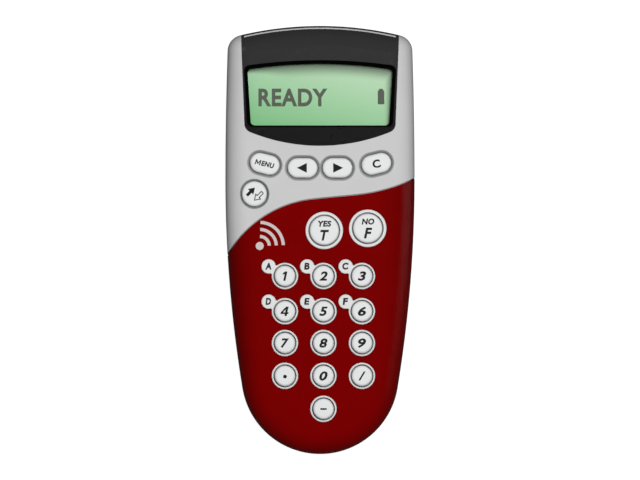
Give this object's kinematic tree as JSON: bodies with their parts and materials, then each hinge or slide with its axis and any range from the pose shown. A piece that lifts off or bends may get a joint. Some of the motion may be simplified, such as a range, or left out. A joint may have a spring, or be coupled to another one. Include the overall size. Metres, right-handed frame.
{
  "type": "handheld audience response keypad",
  "caption": "Slim handheld quiz keypad with a rounded tail, a recessed green display, silver face keys, a dark red keypad half and a sliding battery door.",
  "frame": {"origin": "on the plane that the back rests on, under the middle of the housing's bounding box", "axes": "+X across the keypad to the user's right, +Y towards the display end, +Z out of the key face"},
  "size_m": [0.0638, 0.1444, 0.0252],
  "materials": {
    "silver_plastic": "satin silver-grey moulding",
    "red_plastic": "smooth dark red skin",
    "black_gloss": "glossy black",
    "bright_trim": "bright thin line",
    "clear_lens": "clear",
    "lcd_green": "reflective green display",
    "black_plastic": "moulded",
    "conductive_rubber": "layered",
    "silicone": "translucent silicone",
    "board_green": "solder resist",
    "gold_plate": "plated",
    "tinned_steel": "tin plated",
    "charcoal_plastic": "fine texture",
    "cell_jacket": "printed sleeve, plain",
    "screw_steel": "zinc plated",
    "key_plastic": "light grey, smooth"
  },
  "bodies": {
    "housing": {"front_shell": "silver_plastic", "lower_fascia": "red_plastic", "display_bezel": "black_gloss", "bezel_pinstripe": "bright_trim", "display_window": "clear_lens", "lcd_glass": "lcd_green", "lcd_holder": "black_plastic", "zebra_strips": "conductive_rubber", "keypad_mat": "silicone", "circuit_board": "board_green", "key_contacts": "gold_plate", "microcontroller": "black_plastic", "radio_board": "board_green", "radio_shield": "tinned_steel", "antenna": "tinned_steel", "crystal": "tinned_steel", "capacitor": "black_gloss", "chip_resistors": "black_plastic", "rear_shell": "charcoal_plastic", "battery_cell_1": "cell_jacket", "battery_cell_2": "cell_jacket", "battery_cell_3": "cell_jacket", "battery_springs": "tinned_steel", "battery_contacts": "tinned_steel", "corner_screws": "screw_steel", "tail_screw": "screw_steel", "board_screws": "screw_steel"},
    "battery_door": {"battery_door": "charcoal_plastic"},
    "key_menu": {"key_menu": "key_plastic"},
    "key_left": {"key_left": "key_plastic"},
    "key_right": {"key_right": "key_plastic"},
    "key_clear": {"key_clear": "key_plastic"},
    "key_send": {"key_send": "key_plastic"},
    "key_true": {"key_true": "key_plastic"},
    "key_false": {"key_false": "key_plastic"},
    "key_1": {"key_1": "key_plastic"},
    "key_2": {"key_2": "key_plastic"},
    "key_3": {"key_3": "key_plastic"},
    "key_4": {"key_4": "key_plastic"},
    "key_5": {"key_5": "key_plastic"},
    "key_6": {"key_6": "key_plastic"},
    "key_7": {"key_7": "key_plastic"},
    "key_8": {"key_8": "key_plastic"},
    "key_9": {"key_9": "key_plastic"},
    "key_point": {"key_point": "key_plastic"},
    "key_0": {"key_0": "key_plastic"},
    "key_slash": {"key_slash": "key_plastic"},
    "key_minus": {"key_minus": "key_plastic"}
  },
  "joints": [
    {"name": "key_menu_press", "type": "slide", "parent": "housing", "child": "key_menu", "axis": [0, 0, -1], "range_m": [0, 0.0009], "stiffness_N_per_m": 600, "springref_m": -0.001, "deforming": ["keypad_mat"]},
    {"name": "key_left_press", "type": "slide", "parent": "housing", "child": "key_left", "axis": [0, 0, -1], "range_m": [0, 0.0009], "stiffness_N_per_m": 600, "springref_m": -0.001, "deforming": ["keypad_mat"]},
    {"name": "key_right_press", "type": "slide", "parent": "housing", "child": "key_right", "axis": [0, 0, -1], "range_m": [0, 0.0009], "stiffness_N_per_m": 600, "springref_m": -0.001, "deforming": ["keypad_mat"]},
    {"name": "key_clear_press", "type": "slide", "parent": "housing", "child": "key_clear", "axis": [0, 0, -1], "range_m": [0, 0.0009], "stiffness_N_per_m": 600, "springref_m": -0.001, "deforming": ["keypad_mat"]},
    {"name": "key_send_press", "type": "slide", "parent": "housing", "child": "key_send", "axis": [0, 0, -1], "range_m": [0, 0.0009], "stiffness_N_per_m": 600, "springref_m": -0.001, "deforming": ["keypad_mat"]},
    {"name": "key_true_press", "type": "slide", "parent": "housing", "child": "key_true", "axis": [0, 0, -1], "range_m": [0, 0.0009], "stiffness_N_per_m": 600, "springref_m": -0.001, "deforming": ["keypad_mat"]},
    {"name": "key_false_press", "type": "slide", "parent": "housing", "child": "key_false", "axis": [0, 0, -1], "range_m": [0, 0.0009], "stiffness_N_per_m": 600, "springref_m": -0.001, "deforming": ["keypad_mat"]},
    {"name": "key_1_press", "type": "slide", "parent": "housing", "child": "key_1", "axis": [0, 0, -1], "range_m": [0, 0.0009], "stiffness_N_per_m": 600, "springref_m": -0.001, "deforming": ["keypad_mat"]},
    {"name": "key_2_press", "type": "slide", "parent": "housing", "child": "key_2", "axis": [0, 0, -1], "range_m": [0, 0.0009], "stiffness_N_per_m": 600, "springref_m": -0.001, "deforming": ["keypad_mat"]},
    {"name": "key_3_press", "type": "slide", "parent": "housing", "child": "key_3", "axis": [0, 0, -1], "range_m": [0, 0.0009], "stiffness_N_per_m": 600, "springref_m": -0.001, "deforming": ["keypad_mat"]},
    {"name": "key_4_press", "type": "slide", "parent": "housing", "child": "key_4", "axis": [0, 0, -1], "range_m": [0, 0.0009], "stiffness_N_per_m": 600, "springref_m": -0.001, "deforming": ["keypad_mat"]},
    {"name": "key_5_press", "type": "slide", "parent": "housing", "child": "key_5", "axis": [0, 0, -1], "range_m": [0, 0.0009], "stiffness_N_per_m": 600, "springref_m": -0.001, "deforming": ["keypad_mat"]},
    {"name": "key_6_press", "type": "slide", "parent": "housing", "child": "key_6", "axis": [0, 0, -1], "range_m": [0, 0.0009], "stiffness_N_per_m": 600, "springref_m": -0.001, "deforming": ["keypad_mat"]},
    {"name": "key_7_press", "type": "slide", "parent": "housing", "child": "key_7", "axis": [0, 0, -1], "range_m": [0, 0.0009], "stiffness_N_per_m": 600, "springref_m": -0.001, "deforming": ["keypad_mat"]},
    {"name": "key_8_press", "type": "slide", "parent": "housing", "child": "key_8", "axis": [0, 0, -1], "range_m": [0, 0.0009], "stiffness_N_per_m": 600, "springref_m": -0.001, "deforming": ["keypad_mat"]},
    {"name": "key_9_press", "type": "slide", "parent": "housing", "child": "key_9", "axis": [0, 0, -1], "range_m": [0, 0.0009], "stiffness_N_per_m": 600, "springref_m": -0.001, "deforming": ["keypad_mat"]},
    {"name": "key_point_press", "type": "slide", "parent": "housing", "child": "key_point", "axis": [0, 0, -1], "range_m": [0, 0.0009], "stiffness_N_per_m": 600, "springref_m": -0.001, "deforming": ["keypad_mat"]},
    {"name": "key_0_press", "type": "slide", "parent": "housing", "child": "key_0", "axis": [0, 0, -1], "range_m": [0, 0.0009], "stiffness_N_per_m": 600, "springref_m": -0.001, "deforming": ["keypad_mat"]},
    {"name": "key_slash_press", "type": "slide", "parent": "housing", "child": "key_slash", "axis": [0, 0, -1], "range_m": [0, 0.0009], "stiffness_N_per_m": 600, "springref_m": -0.001, "deforming": ["keypad_mat"]},
    {"name": "key_minus_press", "type": "slide", "parent": "housing", "child": "key_minus", "axis": [0, 0, -1], "range_m": [0, 0.0009], "stiffness_N_per_m": 600, "springref_m": -0.001, "deforming": ["keypad_mat"]},
    {"name": "battery_door_slide", "type": "slide", "parent": "housing", "child": "battery_door", "axis": [0, -1, 0], "range_m": [0, 0.06]}
  ]
}
